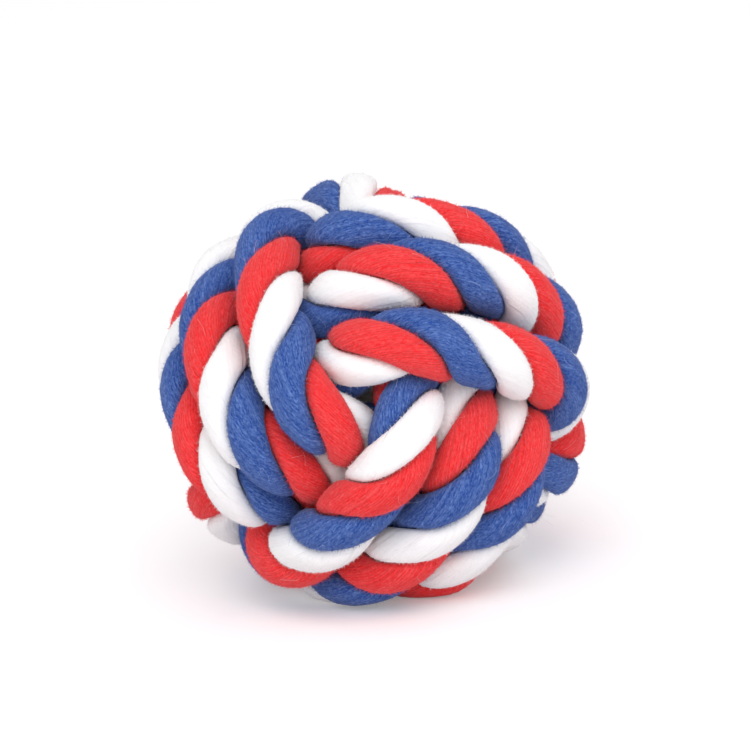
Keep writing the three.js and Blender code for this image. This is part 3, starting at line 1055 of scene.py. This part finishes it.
def wad_piece():
    """A lumpy ball of cotton waste, just inside the strands."""
    mesh = bpy.data.meshes.new("cotton_wad_filling")
    piece = bpy.data.objects.new("cotton_wad_filling", mesh)
    bpy.context.scene.collection.objects.link(piece)
    shape = bmesh.new()
    bmesh.ops.create_icosphere(shape, subdivisions=WAD_SUBDIVISIONS, radius=wad_radius)
    rng = np.random.default_rng(5)
    lumps = rng.normal(size=(WAD_LUMPS, 3))
    lumps /= np.linalg.norm(lumps, axis=1, keepdims=True)
    for vertex in shape.verts:
        ray = np.array(vertex.co) / wad_radius
        rise = np.exp(WAD_LUMP_SHARPNESS * (lumps @ ray - 1)).max()
        vertex.co *= 1 - WAD_LUMP_RISE + WAD_LUMP_RISE * rise
        vertex.co = (vertex.co + Vector(ball_centre)) * MM
    for face in shape.faces:
        face.smooth = True
    shape.to_mesh(mesh)
    shape.free()
    return piece


def cotton_waste():
    """Loose undyed cotton waste: matt, tangled, off-white."""
    material = bpy.data.materials.new("loose_cotton_waste")
    material.use_nodes = True
    tree = material.node_tree
    surface = tree.nodes["Principled BSDF"]
    place = add_node(tree, "ShaderNodeTexCoord").outputs["Object"]
    # Tangles about 1 mm wide
    tangle = add_node(
        tree,
        "ShaderNodeTexNoise",
        inputs={"Vector": place, "Scale": 1000, "Detail": 5, "Roughness": 0.7, "Distortion": 1.5},
    )
    colour = add_node(
        tree,
        "ShaderNodeMix",
        {"data_type": "RGBA"},
        {"Factor": tangle.outputs["Fac"], "A": linear("#b9b2a8"), "B": linear("#f1ede6")},
    )
    relief = add_node(
        tree,
        "ShaderNodeBump",
        inputs={"Height": tangle.outputs["Fac"], "Strength": 0.8, "Distance": 0.4 * MM},
    )
    tree.links.new(colour.outputs["Result"], surface.inputs["Base Color"])
    tree.links.new(relief.outputs["Normal"], surface.inputs["Normal"])
    surface.inputs["Roughness"].default_value = 1.0
    surface.inputs["Specular IOR Level"].default_value = 0.1
    return material


wad = wad_piece()
wad.data.materials.append(cotton_waste())

# What rides on what

for strand, strand_name in enumerate(STRAND_NAMES):
    for piece in strand_pieces[strand]:
        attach(piece, "root")
        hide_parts(strand_name)
    for piece in nap_pieces[strand]:
        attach(piece, "root")
for piece in lint_pieces:
    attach(piece, "root")
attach(wad, "root")
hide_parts("cotton_wad")

# Floor, light and camera


def floor_piece():
    """A plain pale floor that keeps the ball's shadow and is white far from it."""
    size = 3.0  # metres, from the middle to each side
    floor_lift = 0.2  # light that the floor adds for the camera alone
    mesh = bpy.data.meshes.new("floor")
    corners = [(-size, -size, 0), (size, -size, 0), (size, size, 0), (-size, size, 0)]
    mesh.from_pydata(corners, [], [(0, 1, 2, 3)])
    floor = bpy.data.objects.new("floor", mesh)
    bpy.context.scene.collection.objects.link(floor)
    material = bpy.data.materials.new("matt_white_paper")
    material.use_nodes = True
    tree = material.node_tree
    surface = tree.nodes["Principled BSDF"]
    surface.inputs["Base Color"].default_value = linear("#f4f1f2")
    surface.inputs["Roughness"].default_value = 1.0
    surface.inputs["Specular IOR Level"].default_value = 0.0
    surface.inputs["Emission Color"].default_value = (1, 1, 1, 1)
    seen = add_node(tree, "ShaderNodeLightPath").outputs["Is Camera Ray"]
    lift = add_node(tree, "ShaderNodeMath", {"operation": "MULTIPLY"}, {0: seen, 1: floor_lift})
    tree.links.new(lift.outputs[0], surface.inputs["Emission Strength"])
    mesh.materials.append(material)
    return floor


floor_piece()

world = bpy.data.worlds.new("studio")
bpy.context.scene.world = world
world.use_nodes = True
world_tree = world.node_tree
background = world_tree.nodes["Background"]
path = add_node(world_tree, "ShaderNodeLightPath").outputs
mirrored = add_node(
    world_tree,
    "ShaderNodeMath",
    {"operation": "ADD"},
    {0: path["Is Glossy Ray"], 1: path["Is Transmission Ray"]},
)
seen = add_node(
    world_tree,
    "ShaderNodeMath",
    {"operation": "ADD", "use_clamp": True},
    {0: mirrored.outputs[0], 1: path["Is Camera Ray"]},
)
strength = add_node(
    world_tree,
    "ShaderNodeMapRange",
    inputs={"Value": seen.outputs[0], "To Min": 0.81, "To Max": 1.0},
)
world_tree.links.new(strength.outputs["Result"], background.inputs["Strength"])
background.inputs["Color"].default_value = (1, 1, 1, 1)


def soft_lamp(name, place, size, power):
    """A square soft box that looks at the ball."""
    light = bpy.data.lights.new(name, "AREA")
    light.shape = "SQUARE"
    light.size = size
    light.energy = power
    lamp = bpy.data.objects.new(name, light)
    bpy.context.scene.collection.objects.link(lamp)
    target = Vector(ball_centre) * MM
    lamp.location = place
    lamp.rotation_euler = (target - Vector(place)).to_track_quat("-Z", "Y").to_euler()


soft_lamp("key_light", (0.05, -0.6, 0.7), 0.6, 3.1)
soft_lamp("fill_light", (0.1, -0.85, 0.12), 0.7, 1.7)

# A long lens from a low front view, a little rolled, as in the photograph
CAMERA_DISTANCE = 805.8 * MM
TOWARDS_CAMERA = Vector((0.0263, -0.9656, 0.2588)).normalized()
CAMERA_UP = Vector((0.0975, 0.2601, 0.9606))
camera_data = bpy.data.cameras.new("camera")
camera_data.lens = 245.5
camera_data.sensor_width = 36
camera_data.shift_x = 0.001
camera_data.shift_y = 0.019
camera_data.clip_start = 0.01
camera = bpy.data.objects.new("camera", camera_data)
bpy.context.scene.collection.objects.link(camera)
camera_right = CAMERA_UP.cross(TOWARDS_CAMERA).normalized()
camera_up = TOWARDS_CAMERA.cross(camera_right)
turn = Matrix((camera_right, camera_up, TOWARDS_CAMERA)).transposed().to_4x4()
place = Vector(ball_centre) * MM + CAMERA_DISTANCE * TOWARDS_CAMERA
camera.matrix_world = Matrix.Translation(place) @ turn
bpy.context.scene.camera = camera

bpy.context.scene.view_settings.view_transform = "Standard"
